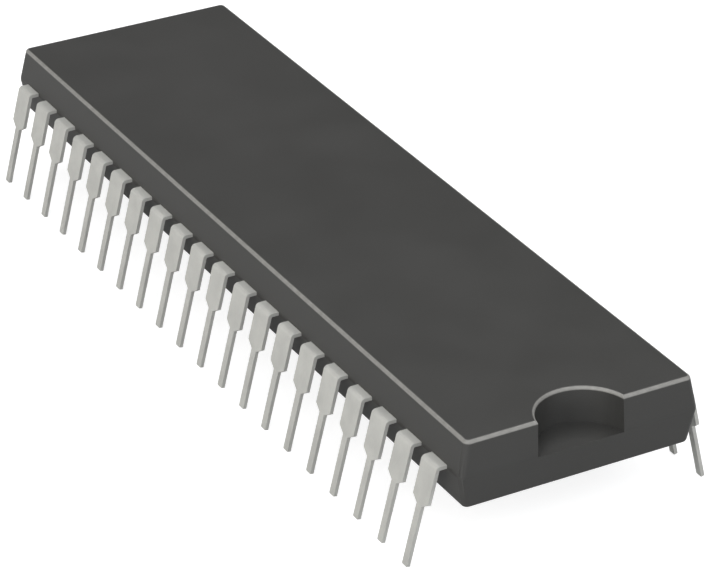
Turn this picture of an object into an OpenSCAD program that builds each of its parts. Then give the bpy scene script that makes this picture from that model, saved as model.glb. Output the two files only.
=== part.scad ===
// Dual in-line package with two rows of formed leads, a moulded plastic body,
// and the lead frame, die and bond wires that the moulding encloses.
// The body's long side runs along Y with the notch at -Y. The lead tips stand on Z = 0.
// Lead 1 is at +X beside the notch, and the count goes round anticlockwise seen from above.
// All sizes are in millimetres.

/* [Lead rows] */
// Number of leads along each long side of the body
leads_per_side = 20; // [14:2:22]
// Spacing of neighbouring leads in a row
pitch = 2.54; // [2.4:0.01:2.6]

/* [Formed lead] */
// Thickness of the lead frame's sheet
sheet_t = 0.2; // [0.18:0.01:0.3]
// Length of the shoulder's flat top from the body to the bend
shoulder_flat = 0.39; // [0.1:0.01:0.5]
// Inner radius of the bend at the shoulder
bend_r = 0.05; // [0.02:0.01:0.3]
// Angle by which each leg leans outward from upright, in degrees
splay = 13.5; // [0:0.5:15]
// Width of the shoulder
shoulder_w = 1.48; // [1.1:0.01:1.7]
// Length of the shoulder down the leg, from the outside of the bend
shoulder_drop = 2.14; // [1.6:0.01:2.6]
// Length over which the shoulder narrows to the leg
taper_drop = 0.32; // [0.2:0.01:0.5]
// Width of the narrow part of the leg
leg_w = 0.48; // [0.38:0.01:0.56]
// Length of the whole leg, from the outside of the bend
leg_length = 5.94; // [5:0.01:6.8]
// Bevel across each corner of the lead's tip
tip_bevel = 0.03; // [0.02:0.01:0.15]

/* [Moulded body] */
// Width of the body at the lead frame, where it is widest
body_w = 14.26; // [13.8:0.01:14.6]
// Distance from the last lead's centre to the end of the body
end_margin = 2.07; // [1.5:0.01:2.4]
// Height of the body above the lead frame
body_up = 1.85; // [1.5:0.01:2.3]
// Depth of the body below the lead frame
body_down = 1.9; // [1.5:0.01:2.3]
// Draft of the long sides, in degrees
side_draft = 11.5; // [5:0.5:15]
// Draft of the ends, in degrees
end_draft = 5; // [1:0.5:10]
// Radius of the body's upright corners
corner_r = 0.35; // [0.25:0.01:0.6]
// Radius of the body's top and bottom edges
edge_r = 0.2; // [0.1:0.01:0.24]

/* [Notch and ejector marks] */
// Radius of the notch in the end beside lead 1
notch_r = 2.6; // [1.5:0.01:3]
// Distance that the notch reaches into the end
notch_depth = 2.28; // [1:0.01:2.4]
// Radius of the notch's upper rim
notch_rim_r = 0.16; // [0.05:0.01:0.2]
// Diameter of the round ejector marks on the underside
ejector_d = 2.5; // [1.5:0.1:4]
// Depth of the ejector marks
ejector_depth = 0.08; // [0.03:0.01:0.15]
// Distance between the two ejector marks' centres
ejector_span = 30; // [20:0.5:40]

/* [Lead frame inside the body] */
// Width of a finger of the lead frame
finger_w = 0.25; // [0.2:0.01:0.28]
// Least gap between two blanked parts of the lead frame
frame_gap = 0.25; // [0.2:0.01:0.28]
// Number of fingers in each quarter that end beside the die pad's long side
side_fingers = 5; // [4:1:6]
// Gap between the die pad's edge and the finger tips
tip_gap = 0.3; // [0.2:0.01:0.4]
// Straight run of a finger from its last bend to its tip
tip_run = 0.25; // [0.2:0.01:0.35]
// Bevel where the shoulder narrows to its finger, inside the body
root_bevel = 0.4; // [0.2:0.01:0.5]
// Width of the die pad, along X
pad_w = 6.6; // [5.5:0.1:7]
// Length of the die pad, along Y
pad_l = 7.6; // [6.5:0.1:8.5]
// Depth of the die pad below the lead frame
pad_downset = 0.3; // [0.1:0.01:0.5]
// Length of the slope that carries the tie bar down to the die pad
downset_run = 0.6; // [0.4:0.05:1]
// Width of each tie bar
tie_w = 0.7; // [0.4:0.05:1]
// Plastic left between the tie bar's end and the notch
notch_cover = 0.5; // [0.3:0.05:1]

/* [Die and bond wires] */
// Width of the die, along X
die_w = 4.6; // [3.5:0.1:5.5]
// Length of the die, along Y
die_l = 5.4; // [4:0.1:6.4]
// Thickness of the die
die_t = 0.34; // [0.25:0.01:0.5]
// Thickness of the adhesive under the die
adhesive_t = 0.03; // [0.02:0.01:0.06]
// Distance that the adhesive spreads past the die's edges
adhesive_spread = 0.12; // [0.05:0.01:0.3]
// Diameter of a bond wire
wire_d = 0.03; // [0.02:0.005:0.05]
// Diameter of the ball at a bond wire's start on the die
ball_d = 0.08; // [0.06:0.005:0.12]
// Height of that ball
ball_h = 0.025; // [0.015:0.005:0.04]
// Height of a bond wire's loop above the die
loop_h = 0.25; // [0.15:0.01:0.4]
// Distance from the die's edge to the centres of the balls
ball_inset = 0.12; // [0.08:0.01:0.2]
// Distance from a finger's tip to the place where its wire lands
wire_landing = 0.2; // [0.1:0.01:0.25]

/* [Hidden] */
lead_count = 2 * leads_per_side;
leads_per_quarter = leads_per_side / 2;

// Heights of the lead frame's two faces above the lead tips.
frame_top = leg_length * cos(splay) + sheet_t * sin(splay);
frame_bottom = frame_top - sheet_t;

// Turn of the bend, and the distance from its sharp outer corner to where it starts.
bend_turn = 90 - splay;
bend_outer_r = bend_r + sheet_t;
bend_setback = bend_outer_r * tan(bend_turn / 2);
// Where the bend starts, and its sharp outer corner, across the body.
bend_x = body_w / 2 + shoulder_flat;
row_x = bend_x + bend_setback;

body_l = (leads_per_side - 1) * pitch + 2 * end_margin;
body_top = frame_top + body_up;
body_bottom = frame_bottom - body_down;

// The notch is a circle whose centre lies beyond the end of the body.
notch_y = notch_depth - body_l / 2 - notch_r;

// Fingers lie side by side at this spacing.
finger_pitch = finger_w + frame_gap;
end_fingers = leads_per_quarter - side_fingers;
finger_bend = 0.3;
// Distances from the centre of the package to the finger tips along X and Y.
side_tip_x = pad_w / 2 + tip_gap;
end_tip_y = pad_l / 2 + tip_gap;
// Lanes along which the fingers run towards the die pad, first and last.
end_lane_x = tie_w / 2 + frame_gap + finger_w / 2;
side_lane_x = side_tip_x + tip_run + finger_bend;
// Where a finger leaves the middle of its shoulder, and where that shoulder ends.
finger_start_x = side_lane_x + (side_fingers - 1) * finger_pitch + finger_bend;
root_x = finger_start_x + finger_w / 2;

// Depth that a wire runs on into its finger, before it is trimmed at the finger's top face.
wire_sink = 2 * wire_d;

pad_top = frame_top - pad_downset;
die_bottom = pad_top + adhesive_t;
die_top = die_bottom + die_t;

// Flats that make up a quarter turn of the body's corners, and of its edges and the notch's rim.
corner_steps = 6;
edge_steps = 5;
// Distance that a cut runs past the face it opens.
cut_margin = 0.1;

plastic = [0.235, 0.233, 0.222];
tin = [0.71, 0.71, 0.69];
copper_alloy = [0.78, 0.6, 0.45];
silver_epoxy = [0.6, 0.6, 0.58];
silicon = [0.2, 0.22, 0.27];
gold = [0.86, 0.68, 0.3];

function lead_name(lead_no) = str("lead_", lead_no < 10 ? "0" : "", lead_no);

// Each row's place: +1 or -1 across the body, and the lead's centre along it.
function lead_side(lead_no) = lead_no <= leads_per_side ? 1 : -1;
function lead_y(lead_no) =
    lead_no <= leads_per_side
        ? (lead_no - (leads_per_side + 1) / 2) * pitch
        : (lead_count + 1 - lead_no - (leads_per_side + 1) / 2) * pitch;
// A lead's number within its quarter, counted from 0 at the middle of the body.
function place_in_quarter(lead_no) = round(abs(lead_y(lead_no)) / pitch - 0.5);
function quarter_y(place) = (place + 0.5) * pitch;

// Path geometry for strips of constant width.
function unit(v) = v / norm(v);
function left_of(a, b) = unit([a.y - b.y, b.x - a.x]);
function mitre(path, i) =
    i == 0 ? left_of(path[0], path[1])
    : i == len(path) - 1 ? left_of(path[i - 1], path[i])
    : let (a = left_of(path[i - 1], path[i]), b = left_of(path[i], path[i + 1])) (a + b) / (1 + a * b);
function strip(path, width) = concat(
    [for (i = [0 : len(path) - 1]) path[i] + mitre(path, i) * width / 2],
    [for (i = [len(path) - 1 : -1 : 0]) path[i] - mitre(path, i) * width / 2]
);
// A whole outline from one half of it, mirrored about the X axis or the Y axis.
function above_and_below(half) = concat(
    half,
    [for (i = [len(half) - 1 : -1 : 0]) [half[i].x, -half[i].y]]
);
function right_and_left(half) = concat(
    half,
    [for (i = [len(half) - 1 : -1 : 0]) [-half[i].x, half[i].y]]
);

// Points along an arc about a centre.
function arc(centre, r, from, to, steps) = [
    for (step = [0 : steps])
        let (angle = from + (to - from) * step / steps)
        centre + r * [cos(angle), sin(angle)]
];

// Right half of the body's outline seen level, from its underside up to its top.
// It is widest at the lead frame, leans in by the slope above and below it, and has rounded edges.
function body_outline(reach, slope) =
    let (
        draft = atan(slope),
        top_round_x = reach - edge_r / cos(draft) - (body_up - edge_r) * slope,
        low_round_x = reach - edge_r / cos(draft) - (body_down - edge_r) * slope
    )
    concat(
        arc([low_round_x, body_bottom + edge_r], edge_r, -90, -draft, edge_steps),
        [[reach, frame_bottom], [reach, frame_top]],
        arc([top_round_x, body_top - edge_r], edge_r, draft, 90, edge_steps)
    );

// Fingers: the lane that each one follows, its tip, and its centre line.
function is_side_finger(place) = place < side_fingers;
function lane_x(place) =
    is_side_finger(place)
        ? side_lane_x + (side_fingers - 1 - place) * finger_pitch
        : end_lane_x + (leads_per_quarter - 1 - place) * finger_pitch;
function side_tip_y(place) = (place + 0.5) * pad_l / (2 * side_fingers);
function finger_path(place) =
    let (
        x = lane_x(place),
        y = quarter_y(place),
        start = [
            [root_x + finger_w, y],
            [finger_start_x, y],
            [x, y - (finger_start_x - x)]
        ]
    )
    is_side_finger(place)
        ? concat(start, [
            [x, side_tip_y(place) + finger_bend],
            [x - finger_bend, side_tip_y(place)],
            [side_tip_x, side_tip_y(place)]
        ])
        : concat(start, [[x, end_tip_y]]);

// Bond wire ends in the first quarter: the ball on the die and the landing on the finger.
function ball_place(place) =
    is_side_finger(place)
        ? [die_w / 2 - ball_inset, (place + 0.5) * (die_l / 2 - 2 * ball_inset) / side_fingers, die_top]
        : [
            (leads_per_quarter - place - 0.5) * (die_w / 2 - 2 * ball_inset) / end_fingers,
            die_l / 2 - ball_inset,
            die_top
        ];
function landing_place(place) =
    is_side_finger(place)
        ? [side_tip_x + wire_landing, side_tip_y(place), frame_top]
        : [lane_x(place), end_tip_y + wire_landing, frame_top];

// Moves the first quarter's shape to the quarter that a lead is in.
module in_quarter(lead_no) {
    mirror([lead_side(lead_no) < 0 ? 1 : 0, 0, 0])
        mirror([0, lead_y(lead_no) < 0 ? 1 : 0, 0])
            children();
}

// The body's outline as seen from one side, run right through it.
module body_slab(turn) {
    across = abs(cos(turn));
    along = abs(sin(turn));
    reach = (body_w / 2 - corner_r) * across + (body_l / 2 - corner_r) * along + corner_r;
    slope = tan(side_draft) * across + tan(end_draft) * along;
    rotate([90, 0, turn])
        linear_extrude(body_l + body_w, center = true)
            polygon(right_and_left(body_outline(reach, slope)));
}

// What the slabs share is the drafted body. Those at an angle round its upright corners.
module body_form() {
    intersection_for (turn = [0 : 90 / corner_steps : 179])
        body_slab(turn);
}

// Cutter for the notch, whose flared top rounds the rim. The floor is level with the leads' underside.
module notch_cut() {
    height = body_top - frame_bottom;
    translate([0, notch_y, frame_bottom])
        rotate_extrude($fn = 96)
            polygon(concat(
                [[0, 0], [notch_r, 0]],
                arc([notch_r + notch_rim_r, height - notch_rim_r], notch_rim_r, 180, 90, edge_steps),
                [[notch_r + notch_rim_r, height + cut_margin], [0, height + cut_margin]]
            ));
}

module ejector_cuts() {
    for (side = [-1, 1])
        translate([0, side * ejector_span / 2, body_bottom - cut_margin])
            cylinder(d = ejector_d, h = ejector_depth + cut_margin, $fn = 64);
}

// Flat part of a lead: its shoulder and, inside the body, the finger that reaches the die.
module lead_flat(place) {
    y = quarter_y(place);
    half_w = shoulder_w / 2;
    translate([0, 0, frame_bottom])
        linear_extrude(sheet_t) {
            translate([0, y])
                polygon(above_and_below([
                    [bend_x, half_w],
                    [root_x + root_bevel, half_w],
                    [root_x, half_w - root_bevel]
                ]));
            polygon(strip(finger_path(place), finger_w));
        }
}

module lead_bend(place) {
    translate([bend_x, quarter_y(place) + shoulder_w / 2, frame_top - bend_outer_r])
        rotate([90, 0, 0])
            rotate([0, 0, splay])
                rotate_extrude(angle = bend_turn, $fn = 96)
                    translate([bend_r, 0])
                        square([sheet_t, shoulder_w]);
}

// The leg's outline is measured down the leg from the bend's sharp outer corner.
module lead_leg(place) {
    translate([row_x, quarter_y(place), frame_top])
        rotate([0, bend_turn, 0])
            translate([0, 0, -sheet_t])
                linear_extrude(sheet_t)
                    polygon(above_and_below([
                        [bend_setback, shoulder_w / 2],
                        [shoulder_drop, shoulder_w / 2],
                        [shoulder_drop + taper_drop, leg_w / 2],
                        [leg_length - tip_bevel, leg_w / 2],
                        [leg_length, leg_w / 2 - tip_bevel]
                    ]));
}

module lead(lead_no) {
    place = place_in_quarter(lead_no);
    color(tin)
        in_quarter(lead_no) {
            lead_flat(place);
            lead_bend(place);
            lead_leg(place);
        }
}

// Side view of the tie bar from the die pad's edge to its end, running along +X.
module tie_bar(end_y) {
    rotate([90, 0, 90])
        translate([0, 0, -tie_w / 2])
            linear_extrude(tie_w)
                polygon([
                    [pad_l / 2, pad_top],
                    [pad_l / 2 + downset_run, frame_top],
                    [end_y, frame_top],
                    [end_y, frame_bottom],
                    [pad_l / 2 + downset_run, frame_bottom],
                    [pad_l / 2, pad_top - sheet_t]
                ]);
}

// The pad hangs on two tie bars. One is cut flush with the end away from the notch.
module die_pad() {
    color(copper_alloy) {
        translate([-pad_w / 2, -pad_l / 2, pad_top - sheet_t])
            cube([pad_w, pad_l, sheet_t]);
        tie_bar(body_l / 2);
        mirror([0, 1, 0])
            tie_bar(-notch_y - notch_r - notch_cover);
    }
}

module die_adhesive() {
    width = die_w + 2 * adhesive_spread;
    length = die_l + 2 * adhesive_spread;
    color(silver_epoxy)
        translate([-width / 2, -length / 2, pad_top])
            cube([width, length, adhesive_t]);
}

module die() {
    color(silicon)
        translate([-die_w / 2, -die_l / 2, die_bottom])
            cube([die_w, die_l, die_t]);
}

// A straight six-sided length of wire from one point to another.
module wire_run(from, to) {
    run = to - from;
    translate(from)
        rotate([0, acos(run.z / norm(run)), atan2(run.y, run.x)])
            cylinder(d = wire_d, h = norm(run), $fn = 6);
}

// A ball, a short rise from it, and a run down to the finger that ends below its top face.
module wire(place) {
    ball = ball_place(place);
    landing = landing_place(place);
    crest = ball + [0, 0, loop_h];
    translate(ball)
        cylinder(d = ball_d, h = ball_h, $fn = 12);
    wire_run(ball, crest);
    wire_run(crest, landing + (landing - crest) * wire_sink / loop_h);
}

// The level of the lead frame, open over the die pad.
module finger_level() {
    difference() {
        translate([-body_w / 2, -body_l / 2, frame_bottom])
            cube([body_w, body_l, sheet_t]);
        translate([-pad_w / 2, -pad_l / 2, frame_bottom - cut_margin])
            cube([pad_w, pad_l, sheet_t + 2 * cut_margin]);
    }
}

module bond_wires() {
    color(gold)
        difference() {
            for (lead_no = [1 : lead_count])
                in_quarter(lead_no)
                    wire(place_in_quarter(lead_no));
            finger_level();
        }
}

module moulded_body() {
    color(plastic)
        difference() {
            body_form();
            notch_cut();
            ejector_cuts();
            for (lead_no = [1 : lead_count])
                in_quarter(lead_no)
                    lead_flat(place_in_quarter(lead_no));
            die_pad();
            die_adhesive();
            die();
            bond_wires();
        }
}

moulded_body();
die_pad();
die_adhesive();
die();
bond_wires();
for (lead_no = [1 : lead_count])
    lead(lead_no);
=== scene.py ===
"""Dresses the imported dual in-line package and sets up its studio view."""

import math

import bpy
from mathutils import Euler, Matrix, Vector


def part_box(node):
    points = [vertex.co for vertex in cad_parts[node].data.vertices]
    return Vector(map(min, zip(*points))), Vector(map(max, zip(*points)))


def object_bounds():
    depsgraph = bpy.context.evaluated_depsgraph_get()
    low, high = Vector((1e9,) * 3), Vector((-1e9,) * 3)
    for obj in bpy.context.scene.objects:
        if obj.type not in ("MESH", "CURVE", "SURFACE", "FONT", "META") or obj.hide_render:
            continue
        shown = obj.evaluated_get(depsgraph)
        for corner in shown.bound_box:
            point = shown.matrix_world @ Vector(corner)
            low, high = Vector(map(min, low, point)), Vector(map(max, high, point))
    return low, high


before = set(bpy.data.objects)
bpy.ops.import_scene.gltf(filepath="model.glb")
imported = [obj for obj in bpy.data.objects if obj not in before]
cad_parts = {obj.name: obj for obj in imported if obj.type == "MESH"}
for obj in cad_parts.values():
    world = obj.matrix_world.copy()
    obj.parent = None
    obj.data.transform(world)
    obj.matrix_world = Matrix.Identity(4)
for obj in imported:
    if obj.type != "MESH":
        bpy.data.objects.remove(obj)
cad_low, cad_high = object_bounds()

MM = 0.001

# Camera, as the photograph was taken. The picture is 708 x 570 pixels.
VIEW_AZIMUTH = -29.5
VIEW_ELEVATION = 29.05
VIEW_ROLL = 0.35
VIEW_DISTANCE = 205.45 * MM
VIEW_AIM = Vector((0.593, -1.641, 2.777)) * MM
LENS_MM = 185.68
SENSOR_MM = 36.0
NEAREST = 0.01
FARTHEST = 10.0

# Floor: half its width, its colour under the lamps, and the glow that makes it white to the camera.
FLOOR_REACH = 2.0
FLOOR_COLOUR = (0.45, 0.45, 0.45, 1)
FLOOR_GLOW = 0.8
# Mirrored rays find that glow dimmed round the part, a painted shade, up to the first distance, and full
# from the second.
SHADE_LEVEL = 0.03
SHADE_NEAR = 20 * MM
SHADE_FAR = 120 * MM

# Surroundings: white up to the first elevation in degrees, and dim from the second.
WHITE_BELOW = 6
DIM_ABOVE = 24
WHITE_LEVEL = 1.0
DIM_LEVEL = 0.04

# Each lamp: azimuth, elevation, width, height, power and tint. All are wide and soft, to keep hard glare
# off a flat face that mirrors one.
WARM = (1.0, 0.97, 0.92)
PLAIN = (1.0, 1.0, 1.0)
COOL = (0.95, 0.97, 1.0)
LAMP_REACH = 0.5
LAMPS = {
    "key": (-35, 42, 0.5, 0.4, 1.9, COOL),
    "left_fill": (-80, 28, 0.5, 0.35, 1.2, WARM),
    "right_fill": (35, 35, 0.4, 0.35, 0.8, COOL),
    "back_top": (150, 66, 0.4, 0.3, 1.0, PLAIN),
}

# Moulding compound. Colours are linear here and below, and a grain is the size of a texture's features.
BODY_DARK = (0.036, 0.0356, 0.0335, 1)
BODY_LIGHT = (0.038, 0.0376, 0.0355, 1)
BODY_CLOUD = 5.0 * MM
BODY_ROUGHNESS = (0.36, 0.42)
BODY_GRAIN = 0.05 * MM
BODY_RELIEF = 0.002 * MM
# Pale filler shows where its noise passes the first level, and is at its full share from the second.
FILLER_COLOUR = (0.09, 0.088, 0.082, 1)
FILLER_LEVELS = (0.66, 0.74)
FILLER_SHARE = 0.25
# The edges round the top are painted paler, a guessed painted highlight that stands in for part of the lit
# lines along them.
# Both pairs are depths below the top: where the colour starts and is full, and where it fades and has gone.
EDGE_HIGHLIGHT_COLOUR = (0.24, 0.235, 0.22, 1)
EDGE_START = (0.002 * MM, 0.012 * MM)
EDGE_END = (0.1425 * MM, 0.19 * MM)
# The painted edge highlight varies with noise of this grain, between these two shares of its full strength.
EDGE_HIGHLIGHT_GRAIN = 0.4 * MM
EDGE_HIGHLIGHT_SPREAD = (0.8, 1.0)

# Tin plate on the leads. The streaks are drawn out along the lead.
TIN_LIGHT = (0.68, 0.68, 0.65, 1)
TIN_DULL = (0.62, 0.62, 0.595, 1)
TIN_CLOUD = 1.1 * MM
TIN_ROUGHNESS = (0.68, 0.76)
TIN_GRAIN = 0.035 * MM
TIN_GRAIN_RELIEF = 0.0015 * MM
STREAK_GRAIN = 0.05 * MM
STREAK_STRETCH = (1.0, 1.0, 0.06)
STREAK_RELIEF = 0.001 * MM

# Rolled and drawn metal inside: a dark and a light colour, and the roughness in the middle of its range.
COPPER = ((0.5, 0.28, 0.17, 1), (0.72, 0.45, 0.3, 1), 0.32)
GOLD = ((0.75, 0.5, 0.16, 1), (0.88, 0.64, 0.26, 1), 0.2)
TARNISH_CLOUD = 1.5 * MM
ROLL_GRAIN = 0.04 * MM
ROLL_STRETCH = (1.0, 0.04, 1.0)
ROLL_ROUGHNESS_SPREAD = 0.06
ROLL_RELIEF = 0.001 * MM

# Silver-filled epoxy under the die.
EPOXY_DARK = (0.3, 0.3, 0.29, 1)
EPOXY_LIGHT = (0.55, 0.55, 0.53, 1)
EPOXY_ROUGHNESS = (0.45, 0.6)
FLAKE_GRAIN = 0.03 * MM
FLAKE_RELIEF = 0.002 * MM

# Silicon, with blocks of circuitry and the tracks between them. In the pattern's own unit, a block is
# 0.5 wide and 0.25 high.
BLOCK_BLUE = (0.05, 0.07, 0.12, 1)
BLOCK_PURPLE = (0.12, 0.09, 0.14, 1)
TRACK_COLOUR = (0.35, 0.33, 0.28, 1)
BLOCK_UNIT = 0.45 * MM
TRACK_WIDTH = 0.02
SILICON_ROUGHNESS = (0.16, 0.3)

# Edges sharper than the first angle stay sharp. On the leads, those sharper than the second are broken.
SHARP_FROM = 32
BROKEN_FROM = 50
BROKEN_EDGE = 0.02 * MM
BROKEN_STEPS = 2


def direction(azimuth, elevation):
    """Unit vector from the object towards a place. Azimuth 0 is at -Y, and 90 at +X."""
    a = math.radians(azimuth)
    e = math.radians(elevation)
    return Vector((math.sin(a) * math.cos(e), -math.cos(a) * math.cos(e), math.sin(e)))


class Nodes:
    """A material's node tree, with short calls for the nodes that are used here."""

    def __init__(self, name):
        self.material = bpy.data.materials.new(name)
        self.material.use_nodes = True
        self.tree = self.material.node_tree
        self.tree.nodes.clear()
        self.output = self.tree.nodes.new("ShaderNodeOutputMaterial")

    def add(self, kind, **values):
        """Adds a node. A value sets a property of that name, or else the input of that name."""
        node = self.tree.nodes.new(kind)
        for name, value in values.items():
            if hasattr(node, name):
                setattr(node, name, value)
            else:
                node.inputs[name.replace("_", " ")].default_value = value
        return node

    def link(self, source, target):
        self.tree.links.new(source, target)

    def place(self, stretch=(1, 1, 1)):
        """The object's own coordinates in metres, stretched along each axis."""
        coordinates = self.add("ShaderNodeTexCoord")
        mapping = self.add("ShaderNodeMapping")
        mapping.inputs["Scale"].default_value = stretch
        self.link(coordinates.outputs["Object"], mapping.inputs["Vector"])
        return mapping.outputs["Vector"]

    def noise(self, grain, detail=2.0, place=None):
        """Noise whose features are about one grain, in metres, across."""
        node = self.add("ShaderNodeTexNoise", Scale=1.0 / grain, Detail=detail)
        self.link(place or self.place(), node.inputs["Vector"])
        return node.outputs["Fac"]

    def remap(self, value, low, high, to_low, to_high):
        """Maps a value from one range to another, clamped."""
        node = self.add("ShaderNodeMapRange")
        for name, number in (("From Min", low), ("From Max", high), ("To Min", to_low), ("To Max", to_high)):
            node.inputs[name].default_value = number
        self.link(value, node.inputs["Value"])
        return node.outputs["Result"]

    def spread(self, noise, to_low=0.0, to_high=1.0, reach=0.2):
        """Stretches noise, which keeps near 0.5, over a range. A smaller reach makes its patches harder."""
        return self.remap(noise, 0.5 - reach, 0.5 + reach, to_low, to_high)

    def blend(self, factor, first, second):
        """Mixes two colours, each a tuple or a socket."""
        node = self.add("ShaderNodeMix", data_type="RGBA")
        self.link(factor, node.inputs[0])
        for slot, colour in ((6, first), (7, second)):
            if isinstance(colour, tuple):
                node.inputs[slot].default_value = colour
            else:
                self.link(colour, node.inputs[slot])
        return node.outputs[2]

    def math(self, operation, first, second):
        """Arithmetic on two values, the second a socket or a number."""
        node = self.add("ShaderNodeMath", operation=operation)
        self.link(first, node.inputs[0])
        if isinstance(second, float):
            node.inputs[1].default_value = second
        else:
            self.link(second, node.inputs[1])
        return node.outputs[0]

    def vector(self, operation, first, second=(0, 0, 0)):
        """Arithmetic on a vector socket and a constant vector."""
        node = self.add("ShaderNodeVectorMath", operation=operation)
        self.link(first, node.inputs[0])
        node.inputs[1].default_value = second
        return node.outputs["Value" if operation == "LENGTH" else "Vector"]

    def bump(self, height, depth, strength, normal=None):
        """A relief of this depth, laid over another normal if one is given."""
        node = self.add("ShaderNodeBump", Strength=strength, Distance=depth)
        self.link(height, node.inputs["Height"])
        if normal:
            self.link(normal, node.inputs["Normal"])
        return node.outputs["Normal"]

    def finish(self, shader):
        self.link(shader.outputs[0], self.output.inputs["Surface"])
        return self.material


def top_edges(n, node_name):
    """1 on the rounded edges round a node's flat top, and 0 elsewhere."""
    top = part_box(node_name)[1][2]
    parts = n.add("ShaderNodeSeparateXYZ")
    n.link(n.place(), parts.inputs["Vector"])
    height = parts.outputs["Z"]
    below_flat = n.remap(height, top - EDGE_START[1], top - EDGE_START[0], 1.0, 0.0)
    above_side = n.remap(height, top - EDGE_END[1], top - EDGE_END[0], 0.0, 1.0)
    return n.math("MULTIPLY", below_flat, above_side)


def moulded_plastic():
    """Matt black moulding compound: a fine eroded texture, a trace of filler, and a painted highlight along
    the top edges.
    """
    n = Nodes("moulded_plastic")
    shader = n.add("ShaderNodeBsdfPrincipled", Metallic=0.0, Specular_IOR_Level=0.5)
    cloud = n.noise(BODY_CLOUD)
    colour = n.blend(n.spread(cloud, reach=0.15), BODY_DARK, BODY_LIGHT)
    filler = n.remap(n.noise(BODY_GRAIN, 1.0), FILLER_LEVELS[0], FILLER_LEVELS[1], 0.0, FILLER_SHARE)
    colour = n.blend(filler, colour, FILLER_COLOUR)
    # Painted highlight: the rounded top edges get a paler colour, broken into patches by noise.
    highlight_patches = n.spread(n.noise(EDGE_HIGHLIGHT_GRAIN), EDGE_HIGHLIGHT_SPREAD[0], EDGE_HIGHLIGHT_SPREAD[1])
    highlight_mask = n.math("MULTIPLY", top_edges(n, "moulded_body"), highlight_patches)
    n.link(n.blend(highlight_mask, colour, EDGE_HIGHLIGHT_COLOUR), shader.inputs["Base Color"])
    n.link(n.spread(cloud, BODY_ROUGHNESS[0], BODY_ROUGHNESS[1]), shader.inputs["Roughness"])
    n.link(n.bump(n.noise(BODY_GRAIN, 3.0), BODY_RELIEF, 0.6), shader.inputs["Normal"])
    return n.finish(shader)


def tin_plate():
    """Satin tin: a fine plated grain with faint drawn streaks down the lead."""
    n = Nodes("tin_plate")
    shader = n.add("ShaderNodeBsdfPrincipled", Metallic=1.0)
    streak = n.noise(STREAK_GRAIN, 2.0, n.place(STREAK_STRETCH))
    n.link(n.blend(n.spread(n.noise(TIN_CLOUD, 3.0)), TIN_DULL, TIN_LIGHT), shader.inputs["Base Color"])
    n.link(n.spread(streak, TIN_ROUGHNESS[0], TIN_ROUGHNESS[1]), shader.inputs["Roughness"])
    grained = n.bump(n.noise(TIN_GRAIN), TIN_GRAIN_RELIEF, 0.6)
    n.link(n.bump(streak, STREAK_RELIEF, 0.5, grained), shader.inputs["Normal"])
    return n.finish(shader)


def rolled_metal(name, dark, light, roughness):
    """Rolled sheet: faint lines along Y and soft clouds of tarnish."""
    n = Nodes(name)
    shader = n.add("ShaderNodeBsdfPrincipled", Metallic=1.0)
    lines = n.noise(ROLL_GRAIN, 2.0, n.place(ROLL_STRETCH))
    smoothest = roughness - ROLL_ROUGHNESS_SPREAD
    roughest = roughness + ROLL_ROUGHNESS_SPREAD
    n.link(n.blend(n.spread(n.noise(TARNISH_CLOUD)), dark, light), shader.inputs["Base Color"])
    n.link(n.spread(lines, smoothest, roughest), shader.inputs["Roughness"])
    n.link(n.bump(lines, ROLL_RELIEF, 0.5), shader.inputs["Normal"])
    return n.finish(shader)


def filled_epoxy():
    """Grey epoxy with silver flakes."""
    n = Nodes("filled_epoxy")
    shader = n.add("ShaderNodeBsdfPrincipled", Metallic=0.4)
    flake = n.noise(FLAKE_GRAIN)
    n.link(n.blend(n.spread(flake, reach=0.1), EPOXY_DARK, EPOXY_LIGHT), shader.inputs["Base Color"])
    n.link(n.spread(flake, EPOXY_ROUGHNESS[0], EPOXY_ROUGHNESS[1]), shader.inputs["Roughness"])
    n.link(n.bump(flake, FLAKE_RELIEF, 0.6), shader.inputs["Normal"])
    return n.finish(shader)


def patterned_silicon():
    """Polished silicon with small rectangular blocks of circuitry."""
    n = Nodes("patterned_silicon")
    shader = n.add("ShaderNodeBsdfPrincipled", Metallic=0.2)
    blocks = n.add("ShaderNodeTexBrick", Scale=1.0 / BLOCK_UNIT, Mortar_Size=TRACK_WIDTH)
    blocks.inputs["Color1"].default_value = BLOCK_BLUE
    blocks.inputs["Color2"].default_value = BLOCK_PURPLE
    blocks.inputs["Mortar"].default_value = TRACK_COLOUR
    n.link(n.place(), blocks.inputs["Vector"])
    n.link(blocks.outputs["Color"], shader.inputs["Base Color"])
    roughness = n.remap(blocks.outputs["Fac"], 0.0, 1.0, SILICON_ROUGHNESS[0], SILICON_ROUGHNESS[1])
    n.link(roughness, shader.inputs["Roughness"])
    return n.finish(shader)


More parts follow.
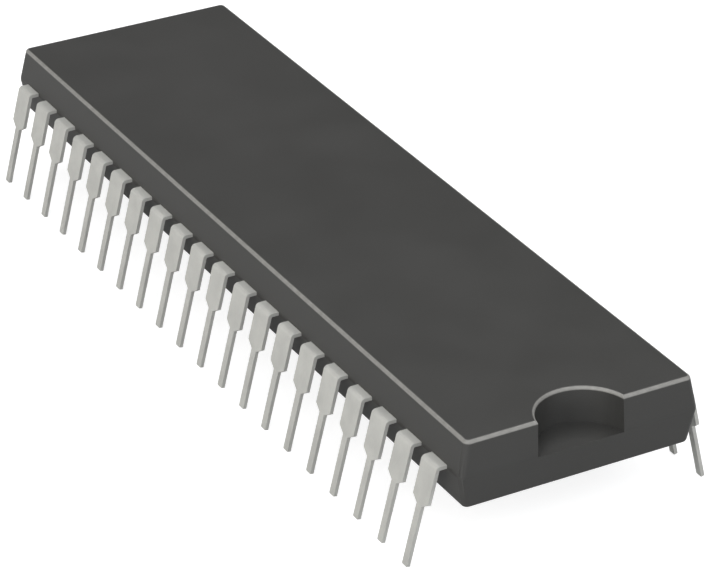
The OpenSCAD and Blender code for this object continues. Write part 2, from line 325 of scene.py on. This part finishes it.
def studio_floor():
    """Floor that looks white, keeps the part's shadow, and can't be seen from below."""
    n = Nodes("studio_floor")
    path = n.add("ShaderNodeLightPath")
    # How far a point lies outside the part's footprint. The third number keeps height out of it.
    apart = n.vector("ABSOLUTE", n.place())
    apart = n.vector("SUBTRACT", apart, (cad_high[0], cad_high[1], 1.0))
    apart = n.vector("LENGTH", n.vector("MAXIMUM", apart, (0, 0, 0)))
    # Painted shade: the glow that mirrored rays see is dimmed near the part's footprint.
    painted_shade = n.remap(apart, SHADE_NEAR, SHADE_FAR, SHADE_LEVEL, 1.0)
    mirrored = n.math("MAXIMUM", path.outputs["Is Glossy Ray"], path.outputs["Is Transmission Ray"])
    seen = n.math("MAXIMUM", path.outputs["Is Camera Ray"], n.math("MULTIPLY", mirrored, painted_shade))
    glow = n.add("ShaderNodeEmission")
    n.link(n.math("MULTIPLY", seen, FLOOR_GLOW), glow.inputs["Strength"])
    lit = n.add("ShaderNodeAddShader")
    n.link(n.add("ShaderNodeBsdfDiffuse", Color=FLOOR_COLOUR).outputs[0], lit.inputs[0])
    n.link(glow.outputs[0], lit.inputs[1])
    facing_away = n.add("ShaderNodeNewGeometry").outputs["Backfacing"]
    pick = n.add("ShaderNodeMixShader")
    n.link(n.math("MULTIPLY", facing_away, path.outputs["Is Camera Ray"]), pick.inputs[0])
    n.link(lit.outputs[0], pick.inputs[1])
    n.link(n.add("ShaderNodeBsdfTransparent").outputs[0], pick.inputs[2])
    return n.finish(pick)


def dress(node_name, material):
    """Gives a CAD node a material in every one of its slots."""
    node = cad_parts[node_name]
    if not node.material_slots:
        node.data.materials.append(material)
    for slot in node.material_slots:
        slot.link = "OBJECT"
        slot.material = material


def smooth_rounds(node_name, edge_width=None):
    """Shades a node's small flats as one round, and can break its sharp edges."""
    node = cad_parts[node_name]
    node.data.shade_smooth()
    node.data.set_sharp_from_angle(angle=math.radians(SHARP_FROM))
    if edge_width:
        bevel = node.modifiers.new("broken_edges", "BEVEL")
        bevel.width = edge_width
        bevel.segments = BROKEN_STEPS
        bevel.limit_method = "ANGLE"
        bevel.angle_limit = math.radians(BROKEN_FROM)
        bevel.harden_normals = False
    weighted = node.modifiers.new("flat_faces_stay_flat", "WEIGHTED_NORMAL")
    weighted.keep_sharp = True


def dress_part():
    tin = tin_plate()
    for node_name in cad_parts:
        if node_name.startswith("lead_"):
            dress(node_name, tin)
            smooth_rounds(node_name, BROKEN_EDGE)
    dress("moulded_body", moulded_plastic())
    smooth_rounds("moulded_body")
    dress("die_pad", rolled_metal("rolled_copper", *COPPER))
    dress("bond_wires", rolled_metal("drawn_gold", *GOLD))
    dress("die_adhesive", filled_epoxy())
    dress("die", patterned_silicon())


def make_floor():
    mesh = bpy.data.meshes.new("floor")
    r = FLOOR_REACH
    mesh.from_pydata([(-r, -r, 0), (r, -r, 0), (r, r, 0), (-r, r, 0)], [], [(0, 1, 2, 3)])
    floor = bpy.data.objects.new("floor", mesh)
    bpy.context.scene.collection.objects.link(floor)
    mesh.materials.append(studio_floor())


def make_lamp(name, azimuth, elevation, width, height, power, tint):
    """A softbox that faces the middle of the object."""
    data = bpy.data.lights.new(name, "AREA")
    data.shape = "RECTANGLE"
    data.size = width
    data.size_y = height
    data.energy = power
    data.color = tint
    lamp = bpy.data.objects.new(name, data)
    towards = direction(azimuth, elevation)
    lamp.location = VIEW_AIM + towards * LAMP_REACH
    lamp.rotation_mode = "QUATERNION"
    lamp.rotation_quaternion = towards.to_track_quat("Z", "Y")
    bpy.context.scene.collection.objects.link(lamp)


def make_world():
    """Surroundings that are white beside and below the object, and dim above it."""
    world = bpy.data.worlds.new("surroundings")
    world.use_nodes = True
    tree = world.node_tree
    tree.nodes.clear()
    coordinates = tree.nodes.new("ShaderNodeTexCoord")
    split = tree.nodes.new("ShaderNodeSeparateXYZ")
    fade = tree.nodes.new("ShaderNodeMapRange")
    fade.interpolation_type = "SMOOTHSTEP"
    light = tree.nodes.new("ShaderNodeBackground")
    output = tree.nodes.new("ShaderNodeOutputWorld")
    fade.inputs["From Min"].default_value = math.sin(math.radians(WHITE_BELOW))
    fade.inputs["From Max"].default_value = math.sin(math.radians(DIM_ABOVE))
    fade.inputs["To Min"].default_value = WHITE_LEVEL
    fade.inputs["To Max"].default_value = DIM_LEVEL
    tree.links.new(coordinates.outputs["Generated"], split.inputs[0])
    tree.links.new(split.outputs["Z"], fade.inputs["Value"])
    tree.links.new(fade.outputs["Result"], light.inputs["Strength"])
    tree.links.new(light.outputs[0], output.inputs["Surface"])
    bpy.context.scene.world = world


def make_camera():
    data = bpy.data.cameras.new("camera")
    data.sensor_width = SENSOR_MM
    data.lens = LENS_MM
    data.clip_start = NEAREST
    data.clip_end = FARTHEST
    camera = bpy.data.objects.new("camera", data)
    back = direction(VIEW_AZIMUTH, VIEW_ELEVATION)
    camera.location = VIEW_AIM + back * VIEW_DISTANCE
    camera.rotation_mode = "QUATERNION"
    roll = Euler((0, 0, math.radians(VIEW_ROLL))).to_quaternion()
    camera.rotation_quaternion = (-back).to_track_quat("-Z", "Y") @ roll
    bpy.context.scene.collection.objects.link(camera)
    bpy.context.scene.camera = camera


make_camera()
make_floor()
make_world()
for lamp_name, settings in LAMPS.items():
    make_lamp(lamp_name, *settings)
dress_part()
bpy.context.scene.view_settings.view_transform = "Standard"
